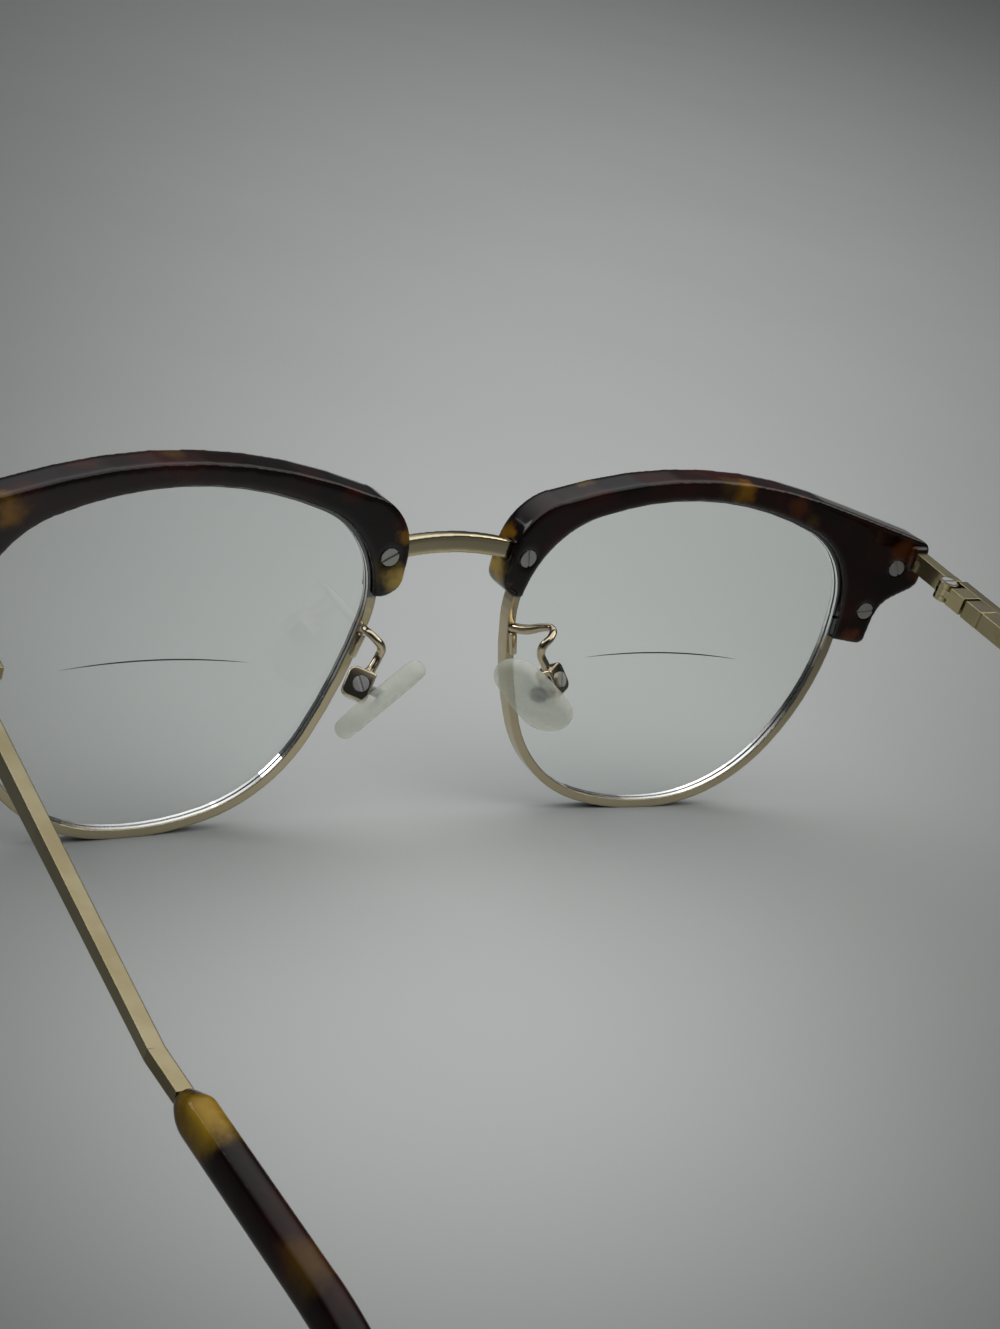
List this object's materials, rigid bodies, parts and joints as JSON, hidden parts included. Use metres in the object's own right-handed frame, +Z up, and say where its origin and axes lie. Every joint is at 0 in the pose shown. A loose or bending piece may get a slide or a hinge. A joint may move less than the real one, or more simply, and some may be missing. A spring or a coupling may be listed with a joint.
{
  "type": "browline glasses",
  "caption": "Browline reading glasses with acetate brows, thin metal rims, bifocal lenses, adjustable nose pads and spring-hinged folding temples.",
  "frame": {"origin": "on the ground, at the middle of the outside box, with the glasses standing open on the rim bottoms and the ends of the temple tips", "axes": "+X to the wearer's left, +Y from the front back along the temples, +Z up"},
  "size_m": [0.149, 0.153, 0.0475],
  "materials": {
    "acetate": "polished dark tortoiseshell acetate",
    "gold": "pale gold plating, polished",
    "steel": "bright turned steel",
    "lens": "clear, polished",
    "silicone": "translucent, satin",
    "insert": "smooth"
  },
  "bodies": {
    "front": {"bridge": "gold", "brow_left": "acetate", "brow_right": "acetate", "rim_left": "gold", "rim_right": "gold", "lens_left": "lens", "lens_right": "lens", "closing_screw_left": "steel", "closing_screw_right": "steel", "brow_screws": "steel", "end_piece_left": "gold", "end_piece_right": "gold", "pad_arm_left": "gold", "pad_arm_right": "gold", "pad_screw_left": "steel", "pad_screw_right": "steel", "hinge_screw_left": "steel", "hinge_screw_right": "steel"},
    "pad_left": {"nose_pad_left": "silicone", "pad_insert_left": "insert"},
    "slider_left": {"slider_left": "gold", "spring_left": "steel"},
    "temple_left": {"temple_left": "gold", "spring_case_left": "gold", "temple_tip_left": "acetate"},
    "pad_right": {"nose_pad_right": "silicone", "pad_insert_right": "insert"},
    "slider_right": {"slider_right": "gold", "spring_right": "steel"},
    "temple_right": {"temple_right": "gold", "spring_case_right": "gold", "temple_tip_right": "acetate"}
  },
  "joints": [
    {"name": "temple_fold_left", "type": "hinge", "parent": "front", "child": "slider_left", "pos_m": [0.0686, -0.05966, 0.03792], "axis": [0.0035, 0.1045, 0.9945], "range_deg": [0, 91.5]},
    {"name": "temple_fold_right", "type": "hinge", "parent": "front", "child": "slider_right", "pos_m": [-0.0686, -0.05966, 0.03792], "axis": [0.0035, -0.1045, -0.9945], "range_deg": [0, 85]},
    {"name": "temple_spring_left", "type": "slide", "parent": "slider_left", "child": "temple_left", "axis": [0.033, 0.994, -0.1045], "range_m": [0, 0.0012], "stiffness_N_per_m": 2000, "deforming": ["spring_left"]},
    {"name": "temple_spring_right", "type": "slide", "parent": "slider_right", "child": "temple_right", "axis": [-0.033, 0.994, -0.1045], "range_m": [0, 0.0012], "stiffness_N_per_m": 2000, "deforming": ["spring_right"]},
    {"name": "pad_rock_left", "type": "hinge", "parent": "front", "child": "pad_left", "pos_m": [0.01375, -0.06602, 0.02241], "axis": [-0.3798, -0.7644, -0.5211], "range_deg": [-8, 8]},
    {"name": "pad_rock_right", "type": "hinge", "parent": "front", "child": "pad_right", "pos_m": [-0.01375, -0.06602, 0.02241], "axis": [-0.3798, 0.7644, 0.5211], "range_deg": [-8, 8]}
  ]
}
